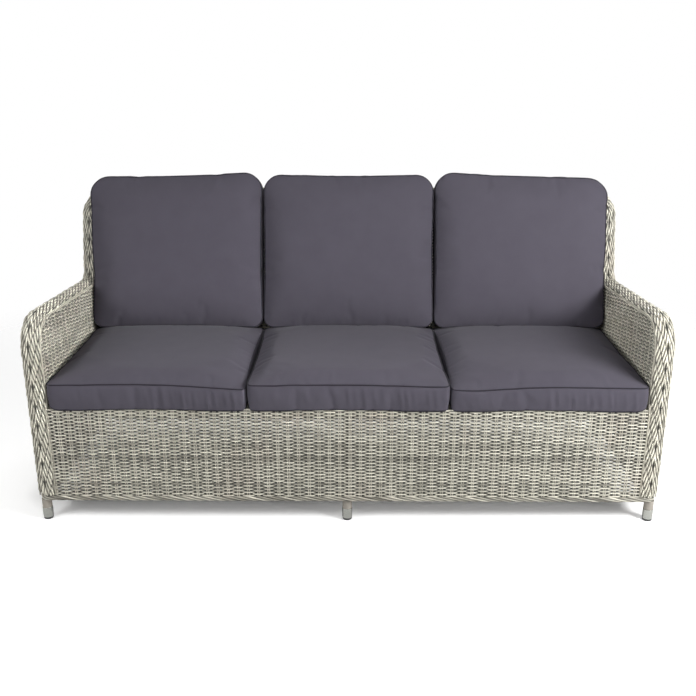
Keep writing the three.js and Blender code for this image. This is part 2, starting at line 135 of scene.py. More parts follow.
def distances(points):
    """How far along its line each point lies."""
    return np.concatenate([[0], np.cumsum(np.linalg.norm(np.diff(points, axis=0), axis=1))])


def interpolated(s, at, values):
    """The rows of values, known at some distances, read at the distances s."""
    return np.stack([np.interp(s, at, column) for column in values.T], -1)


def noise_1d(x, seed):
    """A smooth wave between about -1 and 1 that doesn't repeat soon."""
    phases = np.random.default_rng(seed + 5000).uniform(0, 2 * math.pi, 4)
    waves = [np.sin(x * k + p) / a for k, p, a in zip((1, 2.3, 4.1, 7.7), phases, (1, 1.4, 2.2, 3.5))]
    return sum(waves) / 1.7


def ring_quads(rings, size, closed=False):
    """Faces between rings of this many points each. The last ring joins the first if closed."""
    i, j = np.meshgrid(np.arange(rings if closed else rings - 1), np.arange(size), indexing="ij")
    after, beside = (i + 1) % rings, (j + 1) % size
    corners = [i * size + j, i * size + beside, after * size + beside, after * size + j]
    return np.stack(corners, -1).reshape(-1, 4)


def link(name, data):
    obj = bpy.data.objects.new(name, data)
    bpy.context.scene.collection.objects.link(obj)
    return obj


def make_object(name, co, loops, starts, smooth=True):
    mesh = bpy.data.meshes.new(name)
    mesh.vertices.add(len(co))
    mesh.vertices.foreach_set("co", np.asarray(co, np.float32).ravel())
    mesh.loops.add(len(loops))
    mesh.loops.foreach_set("vertex_index", np.asarray(loops, np.int32))
    mesh.polygons.add(len(starts))
    mesh.polygons.foreach_set("loop_start", np.asarray(starts, np.int32))
    mesh.polygons.foreach_set("use_smooth", np.full(len(starts), smooth))
    mesh.update(calc_edges=True)
    mesh.validate()
    return link(name, mesh)


def make_quads(name, co, quads):
    return make_object(name, co, quads.ravel(), np.arange(len(quads)) * 4)


def dress(piece, material, slot, body="frame"):
    piece.data.materials.clear()
    piece.data.materials.append(material)
    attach(piece, body)


class Strands:
    """Half-round strands gathered into one mesh, each a closed bar along its own path."""

    def __init__(self):
        self.points, self.quads, self.caps, self.quad_uvs, self.cap_uvs = [], [], [], [], []
        self.tones, self.shades, self.lays, self.lengths = [], [], [], []
        self.count = 0

    def add(self, base, up, width, height, tone, shade=1.0):
        """base is the middle of the flat underside, up points to the crown. tone tells a light strand from
        a dark one, and shade is 1 in the open and 0 where the strand dives under others."""
        m, n = len(base), len(PROFILE)
        across = normalised(np.cross(np.gradient(base, axis=0), up))
        width, height, tone, shade = (np.broadcast_to(x, m)[:, None] for x in (width, height, tone, shade))
        rings = [base + across * (x * width / 2) + up * (z * height) for x, z in PROFILE]
        self.points.append(np.stack(rings, 1).reshape(-1, 3))
        fan = np.array([(0, a + 1, a) for a in range(1, n - 1)])
        self.quads.append(ring_quads(m, n) + self.count)
        self.caps.append(np.concatenate([fan, fan[:, ::-1] + (m - 1) * n]) + self.count)
        along = distances(base)
        self.tones.append(np.repeat(tone, n))
        self.shades.append(np.repeat(shade, n))
        self.lays.append(np.stack([np.repeat(along, n), np.tile([x for x, _ in PROFILE], m),
                                   np.full(m * n, rng.uniform(0, 50))], -1))
        ring, side = np.divmod(np.arange((m - 1) * n), n)
        strand = len(self.lengths)
        u = along[np.stack([ring, ring, ring + 1, ring + 1], -1)]
        v = np.stack([side, side + 1, side + 1, side], -1) / n
        self.quad_uvs.append(np.stack([u, strand + 0.05 + 0.9 * v], -1))
        cap_u = np.repeat([0, along[-1]], n - 2)[:, None] * np.ones((1, 3))
        self.cap_uvs.append(np.stack([cap_u, np.full_like(cap_u, strand + 0.5)], -1))
        self.lengths.append(along[-1])
        self.count += m * n

    def lay(self, place, u, v, n, width, height, tone, shade=1.0):
        """One strand through the places (u, v) of a skin, with its middle at the height n."""
        u, v, n = np.broadcast_arrays(u, v, n)
        middle = place(u, v, n)
        up = normalised(place(u, v, n + 1 * MM) - middle)
        self.add(middle - up * height / 2, up, width, height, tone, shade)

    def build(self, name):
        quads, caps = np.concatenate(self.quads), np.concatenate(self.caps)
        starts = np.concatenate([np.arange(len(quads)) * 4, len(quads) * 4 + np.arange(len(caps)) * 3])
        loops = np.concatenate([quads.ravel(), caps.ravel()])
        obj = make_object(name, np.concatenate(self.points), loops, starts)
        for label, kind, field, values in (("tone", "FLOAT", "value", self.tones),
                                           ("shade", "FLOAT", "value", self.shades),
                                           ("lay", "FLOAT_VECTOR", "vector", self.lays)):
            layer = obj.data.attributes.new(label, kind, "POINT")
            layer.data.foreach_set(field, np.concatenate(values).astype(np.float32).ravel())
        uv = np.concatenate([x.reshape(-1, 2) for x in self.quad_uvs + self.cap_uvs])
        uv = uv / (max(self.lengths), len(self.lengths))
        obj.data.uv_layers.new(name="OFBake").data.foreach_set("uv", uv.astype(np.float32).ravel())
        return obj

    def finish(self, name, material, *nodes):
        """Builds the piece, dresses it and lets it stand in for CAD nodes."""
        piece = self.build(name)
        dress(piece, material, "wicker")
        if nodes:
            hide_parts(*nodes)


# The side view of the arm and the back, as (y from the front face, z)

arm_heading = -ARM_SLOPE
back_heading = QUARTER - RECLINE
bend_centre = np.array([ARM_BEND, arm_height - ARM_BEND * math.cos(ARM_SLOPE)])
arm_top_start = bend_centre + unit(arm_heading + QUARTER) * ARM_BEND
run_share = math.cos(arm_heading) - math.sin(arm_heading) * math.tan(RECLINE)
back_face_y = SEAT_DEPTH + (arm_top_start[1] - seat_height) * math.tan(RECLINE)
arm_run = (back_face_y - arm_top_start[0]) / run_share
elbow = arm_top_start + unit(arm_heading) * arm_run
elbow_tangent = ELBOW_BEND * math.tan((back_heading - arm_heading) / 2)
elbow_centre = elbow - unit(arm_heading) * elbow_tangent + unit(arm_heading + QUARTER) * ELBOW_BEND
back_rise = (BACK_HEIGHT - elbow[1]) / math.cos(RECLINE)
corner_rise = back_rise - BACK_CORNER
corner_x = outer_x - BACK_CORNER
up_back = np.array([0, math.sin(RECLINE), math.cos(RECLINE)])
to_sitter = np.array([0, -math.cos(RECLINE), math.sin(RECLINE)])


def on_back(x, rise, depth=0):
    """A point of the back from its place across, its rise from the elbow and its depth."""
    foot = np.array([0, front_y + elbow[0], elbow[1]])
    x, rise, depth = (value[..., None] for value in np.broadcast_arrays(x, rise, depth))
    return foot + X * x + up_back * rise - to_sitter * depth


def rise_at(z, depth):
    return (z - elbow[1] + depth * math.sin(RECLINE)) / math.cos(RECLINE)


class Route:
    """A line with an inward direction and an outward one at each place, read by the distance along it."""

    def __init__(self, stations):
        self.origin, self.across, self.out = (np.array(x, float) for x in zip(*stations))
        self.at = distances(self.origin)
        self.length = self.at[-1]

    def place(self, s, inset, height):
        """A point inset from the line and at a height over it."""
        origin, across, out = (interpolated(s, self.at, x) for x in (self.origin, self.across, self.out))
        return origin + normalised(across) * inset[..., None] + normalised(out) * height[..., None]


def side_line(foot, under=0):
    """From the front foot over the arm and round the elbow, this far under the arm band's outline: places
    and the outward angle of each."""
    bend = zip(*arc(bend_centre, ARM_BEND - under, math.pi, arm_heading + QUARTER))
    inner, angles = arc(elbow_centre, ELBOW_BEND + under, arm_heading - QUARTER, back_heading - QUARTER)
    return [((under, foot), math.pi), *bend, *zip(inner, angles + math.pi)]


def side_stations(side):
    """From the front foot up over the arm, round the elbow and up the back to its corner."""
    stations = [((side * outer_x, front_y + y, z), -side * X, (0, *unit(angle)))
                for (y, z), angle in side_line(skirt_foot)]
    return stations + [(on_back(side * outer_x, corner_rise), -side * X, to_sitter)]


def top_stations(inset, depth, out, steps):
    """Round the top of the back from the left corner to the right one."""
    reach = BACK_CORNER - inset
    stations = []
    for x, start in ((-corner_x, math.pi), (corner_x, QUARTER)):
        for angle in np.linspace(start, start - QUARTER, steps):
            way = unit(angle)
            place = on_back(x + reach * way[0], corner_rise + reach * way[1], depth)
            stations.append((place, -(X * way[0] + up_back * way[1]), out))
    return stations


class BandSection:
    """The band's outline read by the distance over its crown: below zero and past the end are its walls."""

    def __init__(self):
        half = (outer_x - inner_x) / 2
        angles = np.linspace(0, math.pi, 97)
        self.outline = np.stack([half - half * np.cos(angles), BAND_CROWN * np.sin(angles)], -1)
        self.lean = normalised(np.stack([-np.cos(angles) / half, np.sin(angles) / BAND_CROWN], -1))
        self.at = distances(self.outline)
        self.length = self.at[-1]

    def read(self, q):
        """(inset, height over the line, lean of the outward direction as inset and height)."""
        inset, rise = np.moveaxis(interpolated(q, self.at, self.outline), -1, 0)
        wall = np.minimum(q, 0) + np.minimum(self.length - q, 0)
        return inset, rise - BAND_CROWN + wall, normalised(interpolated(q, self.at, self.lean))


left_side, right_side = side_stations(-1), side_stations(1)
route = Route(left_side[:-1] + top_stations(0, 0, to_sitter, 25) + right_side[-2::-1])
back_start = route.at[len(left_side) - 2]
section = BandSection()


def on_band(s, q, n):
    """A point on the band: s along it, q over its crown and n out from its surface."""
    s, q, n = np.broadcast_arrays(s, q, n)
    inset, height, lean = section.read(q)
    return route.place(s, inset + n * lean[..., 0], height + n * lean[..., 1])


# Weaving

def over_under(u, phase, row):
    """1 where the row lies over a stake, -1 where it lies under one, level between."""
    wave = np.cos(np.pi * ((u - phase) / STAKE_PITCH + row))
    return np.tanh(1.7 * wave) / math.tanh(1.7)


def in_the_open(lift, depth):
    """How much light a woven strand gets: little where it passes behind a stake."""
    return np.clip((lift + depth) / 0.6, 0.04, 1)


def steps_between(low, high, pitch, phase=0, shares=(0,)):
    """Places at these shares of each pitch, from low to high, with both ends."""
    first, last = math.floor((low - phase) / pitch), math.ceil((high - phase) / pitch)
    places = (np.arange(first, last + 1)[:, None] + np.array(shares)[None, :]).ravel() * pitch + phase
    inside = places[(places > low + 1 * MM) & (places < high - 1 * MM)]
    return np.concatenate([[low], np.sort(inside), [high]])


def stakes_between(low, high):
    """(number, side, place) of each of the doubled stakes from low to high."""
    first, last = math.ceil((low - STAKE_PHASE) / STAKE_PITCH), math.floor((high - STAKE_PHASE) / STAKE_PITCH)
    for stake in range(first, last + 1):
        for side in (-1, 1):
            yield stake, side, stake * STAKE_PITCH + STAKE_PHASE + side * STAKE_APART


def row_tone(u, row, seed):
    """How light a strand is along its length, and the drift from row to row."""
    row -= DARK_ROW_SHIFT
    pick = np.random.default_rng(seed * 1000 + row)
    base = pick.choice(TONES, p=TONE_ODDS) + pick.normal(0, 0.06)
    base += 0.14 * float(noise_1d(np.array([row / 3.1]), seed + 60)[0])
    return base + 0.16 * noise_1d(u / (60 * MM), seed * 77 + row)


def ripple(u, v, seed):
    """How far a row strays sideways: rows near each other stray alike."""
    lean = noise_1d(u / (70 * MM) + v / (140 * MM), seed)
    return RIPPLE * (lean + 0.8 * noise_1d(u / (33 * MM) - v / (60 * MM), seed + 5))


def crossings(outline, axis, value, least):
    """The stretches along the other axis, not the short ones, where a line at a value crosses an outline."""
    after = np.roll(outline, -1, axis=0)
    a, b = outline[:, axis], after[:, axis]
    hit = (a > value) != (b > value)
    share = (value - a[hit]) / (b[hit] - a[hit])
    other = 1 - axis
    found = np.sort(outline[hit, other] + share * (after[hit, other] - outline[hit, other]))
    return [(low, high) for low, high in zip(found[::2], found[1::2]) if high - low >= least]


def weave_rows(place, outline, rows, seed, width=STRAND_WIDTH, height=STRAND_HEIGHT, relief=1,
               depth=0.66, light=0):
    """Rows of a skin. relief scales how far they rise, depth how bright they are behind the stakes, and light
    raises their tones as painted light.
    """
    strands = Strands()
    for row in rows:
        v = row * ROW_PITCH
        for low, high in crossings(outline, 1, v, STAKE_PITCH / 2):
            u = steps_between(low, high, STAKE_PITCH, STAKE_PHASE, WEAVE_SHARES)
            lift = over_under(u, STAKE_PHASE, row)
            widths = width * (1 + UNDER_SWELL * np.clip(-lift, 0, 1))
            widths[[0, -1]] *= END_SHARE
            patch = noise_1d(u / (110 * MM) + v / (26 * MM), seed + 9)
            strands.lay(place, u, v + ripple(u, v, seed), STRAND_RISE * relief * lift, widths, height,
                        row_tone(u, row, seed) + light, in_the_open(lift, depth + 0.3 * patch))
    return strands


def weave_stakes(place, outline, seed):
    """The doubled stakes of a skin."""
    strands = Strands()
    for stake, side, u in stakes_between(outline[:, 0].min(), outline[:, 0].max()):
        for start, end in crossings(outline, 0, u, 2 * ROW_PITCH):
            v = steps_between(start, end, 4 * ROW_PITCH)
            sway = STAKE_SWAY * noise_1d(v / (50 * MM), seed * 31 + stake * 2 + side)
            tone = 0.42 + 0.15 * noise_1d(v / (90 * MM), seed * 13 + stake)
            strands.lay(place, u + sway, v, 0, STAKE_WIDTH, STAKE_HEIGHT, tone)
    return strands


def woven_skin(name, place, outline, seed, node, **look):
    """A skin woven inside an outline of (u, v), in pieces of some rows each, with its stakes."""
    outline = np.array(outline)
    first = math.ceil(outline[:, 1].min() / ROW_PITCH)
    end = math.floor(outline[:, 1].max() / ROW_PITCH) + 1
    for part, start in enumerate(range(first, end, ROWS_PER_PIECE)):
        rows = weave_rows(place, outline, range(start, min(start + ROWS_PER_PIECE, end)), seed, **look)
        rows.finish(f"{name}_weave_{part + 1}", wicker, *([] if part else [node]))
    weave_stakes(place, outline, seed).finish(f"{name}_stakes", wicker)


# Materials

class Nodes:
    """A short way to write the node tree of a material or a world."""

    def __init__(self, owner):
        owner.use_nodes = True
        self.owner, self.tree = owner, owner.node_tree
        self.shader = self.tree.nodes.get("Principled BSDF")

    def put(self, socket, value):
        if isinstance(value, bpy.types.NodeSocket):
            self.tree.links.new(value, socket)
        else:
            socket.default_value = value

    def fill(self, node, **inputs):
        """Sets inputs by name, with _ for each space."""
        for key, value in inputs.items():
            self.put(node.inputs[key.replace("_", " ")], value)
        return node

    def new(self, kind, *inputs, **settings):
        """A node with its settings and its first inputs."""
        node = self.tree.nodes.new("ShaderNode" + kind)
        for key, value in settings.items():
            setattr(node, key, value)
        for socket, value in zip(node.inputs, inputs):
            self.put(socket, value)
        return node

    def place(self):
        return self.new("TexCoord").outputs["Object"]

    def noise(self, place, scale, detail):
        return self.fill(self.new("TexNoise"), Vector=place, Scale=scale, Detail=detail).outputs[0]

    def maths(self, operation, *values, clamp=False):
        return self.new("Math", *values, operation=operation, use_clamp=clamp).outputs[0]

    def scaled(self, vector, scale):
        return self.new("VectorMath", vector, scale, operation="MULTIPLY").outputs[0]

    def mix(self, share, first, second, mode="MIX"):
        node = self.new("Mix", data_type="RGBA", blend_type=mode)
        for index, value in ((0, share), (6, first), (7, second)):
            self.put(node.inputs[index], value)
        return node.outputs[2]

    def bump(self, height, strength, distance):
        node = self.fill(self.new("Bump"), Height=height, Strength=strength, Distance=distance)
        return node.outputs[0]


def srgb(r, g, b):
    """A colour given in display values of 0 to 255."""
    values = [x / 255 for x in (r, g, b)]
    return (*(x / 12.92 if x <= 0.04045 else ((x + 0.055) / 1.055) ** 2.4 for x in values), 1)


TONE_STEPS = 255.0


def wicker_material(name, lighter=0.0, edge_shade=0.82):
    """Round synthetic rattan: beige and grey strands with fine streaks along them, and painted shade that
    darkens them at their edges and where their shade attribute is low.
    Strands past the last step of the tones turn back to a middle beige, so that none is near white."""
    n = Nodes(bpy.data.materials.new(name))
    tone, shade = (n.new("Attribute", attribute_name=label).outputs["Fac"] for label in ("tone", "shade"))
    lay = n.new("Attribute", attribute_name="lay").outputs["Vector"]
    # Painted shade: edge darkens each strand towards its sides, and seen is the share of its colour left lit by
    # that and by the shade attribute.
    edge = n.maths("POWER", n.maths("ABSOLUTE", n.new("SeparateXYZ", lay).outputs[1]), 2.2)
    seen = n.maths("MULTIPLY", shade, n.maths("MULTIPLY_ADD", edge, -edge_shade, 1.0))
    streaks = n.noise(n.scaled(lay, (9, 2.2, 1)), 1.0, 3.0)
    patch = n.noise(n.place(), 9.0, 1.0)
    spread = n.maths("MULTIPLY_ADD", streaks, 0.7, -0.35)
    level = n.maths("ADD", n.maths("ADD", tone, spread), lighter, clamp=True)
    warm = n.maths("MULTIPLY", n.maths("SUBTRACT", patch, 0.55, clamp=True), 1.6, clamp=True)
    colour = n.mix(level, srgb(112, 109, 98), srgb(240, 236, 219))
    topmost = n.maths("MULTIPLY_ADD", level, TONE_STEPS, 1 - TONE_STEPS, clamp=True)
    colour = n.mix(topmost, colour, srgb(186, 182, 167))
    colour = n.mix(warm, colour, srgb(228, 214, 214), "MULTIPLY")
    # Painted shade: where seen is low, the colour turns to the near-black srgb(14, 14, 12).
    n.fill(n.shader, Base_Color=n.mix(seen, srgb(14, 14, 12), colour),
           Roughness=n.maths("MULTIPLY_ADD", streaks, 0.25, 0.42), Normal=n.bump(streaks, 0.35, 0.4 * MM))
    return n.owner


def hard_material(name, dark, light, scale, detail, rough, rough_spread, stretch=None, cloud=None, metal=0):
    """A painted, brushed or moulded surface: its fine grain shows in its colour and gloss, and in its height
    unless it is metal.
    """
    n = Nodes(bpy.data.materials.new(name))
    place = n.place()
    grain = n.noise(n.scaled(place, stretch) if stretch else place, scale, detail)
    tint = n.noise(place, *cloud) if cloud else grain
    n.fill(n.shader, Base_Color=n.mix(tint, srgb(*dark), srgb(*light)), Metallic=metal,
           Roughness=n.maths("MULTIPLY_ADD", grain, rough_spread, rough))
    if not metal:
        n.fill(n.shader, Normal=n.bump(grain, 0.2, 0.1 * MM))
    return n.owner


def fabric_material(name, light, dark):
    """Plain-woven outdoor cloth: fine threads, a soft mottle and a faint sheen."""
    n = Nodes(bpy.data.materials.new(name))
    place = n.place()
    thread, mottle = n.noise(place, 1100.0, 2.0), n.noise(place, 16.0, 4.0)
    share = n.maths("MULTIPLY_ADD", thread, 0.5, n.maths("MULTIPLY", mottle, 0.5))
    n.fill(n.shader, Base_Color=n.mix(share, srgb(*dark), srgb(*light)), Roughness=0.92,
           Specular_IOR_Level=0.08, Sheen_Weight=0.06, Sheen_Roughness=0.5,
           Normal=n.bump(thread, 0.25, 0.3 * MM))
    return n.owner


wicker = wicker_material("wicker")
# The border's strands are a paler beige. The band's small lift in tone is painted light. Both get less painted
# edge shade than the plain wicker.
border = wicker_material("wicker_border", lighter=0.1, edge_shade=0.62)
band_wicker = wicker_material("wicker_band", lighter=0.05, edge_shade=0.5)
paint = hard_material("frame_paint", (140, 134, 125), (158, 152, 143), 900.0, 2.0, 0.45, 0.2, cloud=(14.0, 2.0))
aluminium = hard_material("foot_aluminium", (150, 151, 146), (176, 177, 172), 1.0, 2.0, 0.2, 0.14,
                          stretch=(30, 30, 2500), metal=1)
plastic = hard_material("glide_plastic", (38, 38, 40), (56, 56, 58), 1500.0, 1.0, 0.45, 0.2)
fabric = fabric_material("cushion_fabric", (81, 78, 87), (69, 66, 75))
# The piping's darker colours are painted shade for the crease along each seam; the cord is of the cover's
# cloth.
piping = fabric_material("cushion_piping", (52, 50, 57), (40, 38, 44))


# Woven skins

def flat_place(axis_u, axis_v, origin, out):
    """Places on a flat skin: u and v along two directions, n out from it."""
    def place(u, v, n):
        u, v, n = (x[..., None] for x in np.broadcast_arrays(u, v, n))
        return np.array(origin) + axis_u * u + axis_v * v + out * (n - SKIN_DEPTH)
    return place


def rear_bend(depth):
    """Where the back's outer face, this deep behind its front one, turns down into the rear skirt."""
    y = rear_y - front_y - BACK_THICKNESS + depth
    return y, seat_height + (y - SEAT_DEPTH - depth / math.cos(RECLINE)) / math.tan(RECLINE)


def back_point(rise, depth):
    _, y, z = on_back(0, rise, depth)
    return y - front_y, z


def make_side_skins():
    core = BACK_THICKNESS - SKIN_GAP
    front = back_point(elbow_tangent, BAND_CROWN)
    outer = [place for place, _ in side_line(skirt_foot, BAND_DEPTH - TUCK)] + [
        front, back_point(elbow_tangent, core), rear_bend(core), (rear_y - front_y - SKIN_GAP, skirt_foot)]
    inner = [place for place, _ in side_line(seat_height - 8 * MM, BAND_CROWN + 5 * MM)] + [
        front, back_point(rise_at(seat_height, TUCK), TUCK)]
    for seed, (name, side) in enumerate(SIDES.items()):
        outside = flat_place(Y, Z, (side * outer_x, front_y, 0), side * X)
        inside = flat_place(Y, Z, (side * inner_x, front_y, 0), -side * X)
        woven_skin(f"side_{name}", outside, outer, 3 + seed, f"side_panel_{name}")
        # light=0.2 lifts the inner arm panels' tones as painted light, for faces that the lamps reach little.
        woven_skin(f"arm_inside_{name}", inside, inner, 5 + seed, f"arm_inner_panel_{name}",
                   width=3.9 * MM, height=3.2 * MM, relief=0.75, depth=0.62, light=0.2)


def rectangle(half_width, low, high):
    return [(-half_width, low), (half_width, low), (half_width, high), (-half_width, high)]


def make_skirts():
    face = flat_place(X, Z, (0, skirt_face, 0), -Y)
    foot = skirt_foot - SKIN_GAP
    woven_skin("front_skirt", face, rectangle(inner_x + 2 * MM, foot, seat_height - EDGE_HEIGHT), 1,
               "front_skirt", width=5.1 * MM, depth=0.54)
    make_skirt_edge(face)
    woven_skin("rear_skirt", flat_place(X, Z, (0, rear_y, 0), Y),
               rectangle(outer_x - SKIN_GAP, foot, rear_top + 4 * MM), 2, "rear_skirt")


def make_skirt_edge(face):
    """The close border along the top of the front skirt: thick double rows that wrap the front rail."""
    strands, wrap = Strands(), Strands()
    half = inner_x - 1 * MM
    top = flat_place(X, Y, (0, 0, seat_height), Z)
    edge_foot = seat_height - EDGE_HEIGHT
    rows = [(face, edge_foot + (k + 0.5) * EDGE_STRAND, k) for k in range(EDGE_FACE_ROWS)]
    rows += [(top, skirt_face + (k + 0.6) * EDGE_STRAND, 2 + k // 2)
             for k in range(int((skirt_back - skirt_face) / EDGE_STRAND))]
    u = steps_between(-half, half, STAKE_PITCH, STAKE_PHASE, WEAVE_SHARES)
    for count, (place, v, row) in enumerate(rows):
        lift = over_under(u, STAKE_PHASE, row)
        drift = 0.3 * MM * noise_1d(u / (50 * MM), 70 + count)
        # The edge rows' tone is lowered by 0.22 as painted shade under the cushion's lip, and in_the_open
        # paints shade where they pass behind a stake.
        strands.lay(place, u, v + drift, STRAND_RISE * lift, EDGE_STRAND * (1 + 0.06 * lift), STRAND_HEIGHT,
                    row_tone(u, 900 + count // 2, 1) - 0.22, in_the_open(lift, 0.6))
    depth = SKIN_DEPTH + STAKE_HEIGHT / 2
    y, z = skirt_face + depth, seat_height - depth
    turn, angles = arc(np.array([y + EDGE_CORNER, z - EDGE_CORNER]), EDGE_CORNER, math.pi, QUARTER,
                       math.radians(22))
    profile = [((y, edge_foot - 6 * MM), math.pi), *zip(turn, angles), ((skirt_back, z), QUARTER)]
    for _, _, x in stakes_between(-half, half):
        base = np.array([(x, *point) for point, _ in profile])
        up = np.array([(0, *unit(angle)) for _, angle in profile])
        # The wrap stakes' low tone of 0.5 is painted shade under the cushion too.
        wrap.add(base, up, STAKE_WIDTH, STAKE_HEIGHT, 0.5)
    strands.finish("front_skirt_edge", border)
    wrap.finish("front_skirt_edge_stakes", border)


def make_back_skins():
    def outline(edge, foot):
        """The back's outline inside its edge, with round top corners."""
        corner, _ = arc(np.zeros(2), BACK_CORNER - edge, 0, QUARTER)
        right = [(corner_x + x, corner_rise + y) for x, y in corner]
        left = [(-x, y) for x, y in reversed(right)]
        return [(outer_x - edge, foot), *right, *left, (edge - outer_x, foot)]

    woven_skin("back_inside", lambda u, v, n: on_back(u, v, SKIN_DEPTH - n),
               outline(outer_x - inner_x, rise_at(back_foot, TUCK)), 8, "back_inner_panel")
    woven_skin("back_outside", lambda u, v, n: on_back(u, v, BACK_THICKNESS - SKIN_DEPTH + n),
               outline(SKIN_GAP, rise_at(rear_top, BACK_THICKNESS) - 4 * MM), 9, "back_outer_panel")


def make_band():
    """The band: strands along it, woven over close cross stakes, and a pale pair at each edge."""
    plait, edges, stakes = Strands(), Strands(), Strands()
    first, last = 1 * MM, section.length - 8.5 * MM
    up = steps_between(0, route.length / 2, STAKE_PITCH, 0, (0, 0.17, 0.33, 0.5, 0.67, 0.83))
    s = np.concatenate([up, route.length - up[-2::-1]])
    foot = np.minimum(s, route.length - s)
    for i in range(BAND_STRANDS):
        from_fold = i - BAND_FOLD
        phase = 0.5 * abs(from_fold)
        sway = math.copysign(BAND_SWAY, from_fold) * np.sin(np.pi * (foot / STAKE_PITCH - phase))
        lift = over_under(foot, 0, -phase)
        tone = row_tone(s, i, 21) + 0.3 * noise_1d(s / (34 * MM), 700 + i)
        # The last value paints shade where a strand dives under a stake.
        plait.lay(on_band, s, first + (last - first) * i / (BAND_STRANDS - 1) - sway,
                  BAND_RISE * lift + 0.2 * MM, BAND_STRAND_WIDTH * (1 + 0.26 * lift), BAND_STRAND_HEIGHT,
                  tone, np.clip((lift + 1.0) / 0.85, 0.12, 1))
    over_back = (back_start, route.length - back_start)
    pairs = [(q * MM, 0, route.length, 1.0) for q in (-7.5, -2)]
    pairs += [(section.length + q * MM, 0, route.length, 1.0) for q in (-4, 1.2)]
    pairs += [(q * MM, *over_back, 0.7) for q in (-13, -18.5, -24, -29.5)]
    for k, (q, low, high, tone) in enumerate(pairs):
        s = steps_between(low, high, 12 * MM)
        drift = 0.4 * MM * noise_1d(s / (60 * MM), 400 + k)
        streak = 0.1 * noise_1d(s / (80 * MM), 420 + k)
        edges.lay(on_band, s, q + drift, 0, 5.6 * MM, 3 * MM, tone + streak)
    joint = ((3.5, 5, skirt_foot), (3.5, 5, seat_height - 25 * MM), (3.2, 6, seat_height - 5 * MM),
             (1.5, 12, seat_height + 20 * MM))
    for side in SIDES.values():
        base = np.array([(side * (inner_x + x * MM), front_y + y * MM, z) for x, y, z in joint])
        edges.add(base, np.tile([-0.3 * side, -0.95, 0.0], (len(base), 1)), 6.4 * MM, 3 * MM, 1.05)
    for s in np.arange(STAKE_PITCH, route.length, STAKE_PITCH):
        reach = 32 * MM if over_back[0] < s < over_back[1] else 10 * MM
        q = np.linspace(-reach, section.length + 10 * MM, 25)
        # Shade 0.3 paints the stakes darker where they lie beneath the plait.
        stakes.lay(on_band, s, q, -2.4 * MM, BAND_STAKE_WIDTH, BAND_STAKE_HEIGHT, 0.4, 0.3)
    plait.finish("band_weave", band_wicker, "arm_band_left", "arm_band_right", "back_edge_band_left",
                 "back_edge_band_right", "back_top_band")
    edges.finish("band_edges", border)
    stakes.finish("band_stakes", wicker)


def twisted(stations, count, turn, half_height, half_depth, width, height, seed):
    """Strands that wind round a route as a rope. Each is a bar that stands out from the rope's middle."""
    strands, path = Strands(), Route(stations)
    turns = max(1, round(path.length / turn))
    s = np.linspace(0, path.length, round(path.length / (turn / 24)))
    for i in range(count):
        angle = 2 * math.pi * (s / path.length * turns + i / count)
        inset, out = np.cos(angle) * half_height, np.sin(angle) * half_depth
        spread = path.place(s, inset * 1.2, out * 1.2 + 0.2 * MM * np.sin(angle))
        up = normalised(spread - path.place(s, inset * 0.2, out * 0.2))
        tone = 0.34 + 0.3 * noise_1d(s / (120 * MM), seed + i) + (0.25 if i % 2 else 0)
        # The last value is painted shade where a strand turns in towards the rope's middle.
        strands.add(path.place(s, inset, out) - up * height / 2, up, width, height, tone,
                    np.clip(0.5 + 0.8 * np.sin(angle), 0.25, 1))
    return strands


def make_base_rope():
    """The twisted border round the foot of the sofa. Its route turns through an arc at each corner."""
    low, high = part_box("base_rope_front")[0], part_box("base_rope_rear")[1]
    half_depth, radius = 6 * MM, 22 * MM
    x = outer_x - half_depth - radius
    front, rear = low.y + half_depth + radius, high.y - half_depth - radius
    stations = []
    for turn, centre in enumerate(((x, rear), (-x, rear), (-x, front), (x, front))):
        for angle in np.linspace(turn * QUARTER, (turn + 1) * QUARTER, 9):
            way = unit(angle)
            stations.append(((*(centre + way * radius), (low.z + high.z) / 2), Z, (*way, 0)))
    rope = twisted(stations + stations[:1], 5, 170 * MM, 6.2 * MM, 3 * MM, 7 * MM, 5.5 * MM, 40)
    rope.finish("base_rope", wicker, "base_rope_front", "base_rope_rear", "base_rope_left", "base_rope_right")


def make_deck():
    """Straps of flat strands side by side, which pass over and under each other."""
    low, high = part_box("seat_deck")
    middles = []
    for start, end in ((low.x, high.x), (low.y, high.y)):
        count = int((end - start - DECK_STRAP) / (DECK_STRAP + DECK_OPENING))
        middles.append(start + DECK_STRAP / 2 + (end - start - DECK_STRAP) * np.arange(count + 1) / count)
    strands = Strands()
    pitch = DECK_STRAP / DECK_STRANDS
    level = (low.z + high.z - DECK_STRAND_HEIGHT) / 2
    for axis, (start, end) in enumerate(((low.y, high.y), (low.x, high.x))):
        crossing = middles[1 - axis]
        along = np.concatenate([[start, end], crossing - DECK_STRAP / 2, crossing + DECK_STRAP / 2])
        along = np.unique(np.clip(along, start, end))
        nearest = np.abs(along[:, None] - crossing[None, :]).argmin(1)
        for i, middle in enumerate(middles[axis]):
            over = np.where((nearest + i + axis) % 2 == 0, 1, -1)
            for k in range(DECK_STRANDS):
                side = np.full(len(along), middle + (k - (DECK_STRANDS - 1) / 2) * pitch)
                pair = (side, along) if axis == 0 else (along, side)
                base = np.stack([*pair, level + 1.25 * MM * over], -1)
                strands.add(base, np.tile(Z, (len(along), 1)), pitch * 0.94, DECK_STRAND_HEIGHT,
                            0.7 + rng.normal(0, 0.12))
    strands.finish("seat_deck_straps", wicker, "seat_deck")


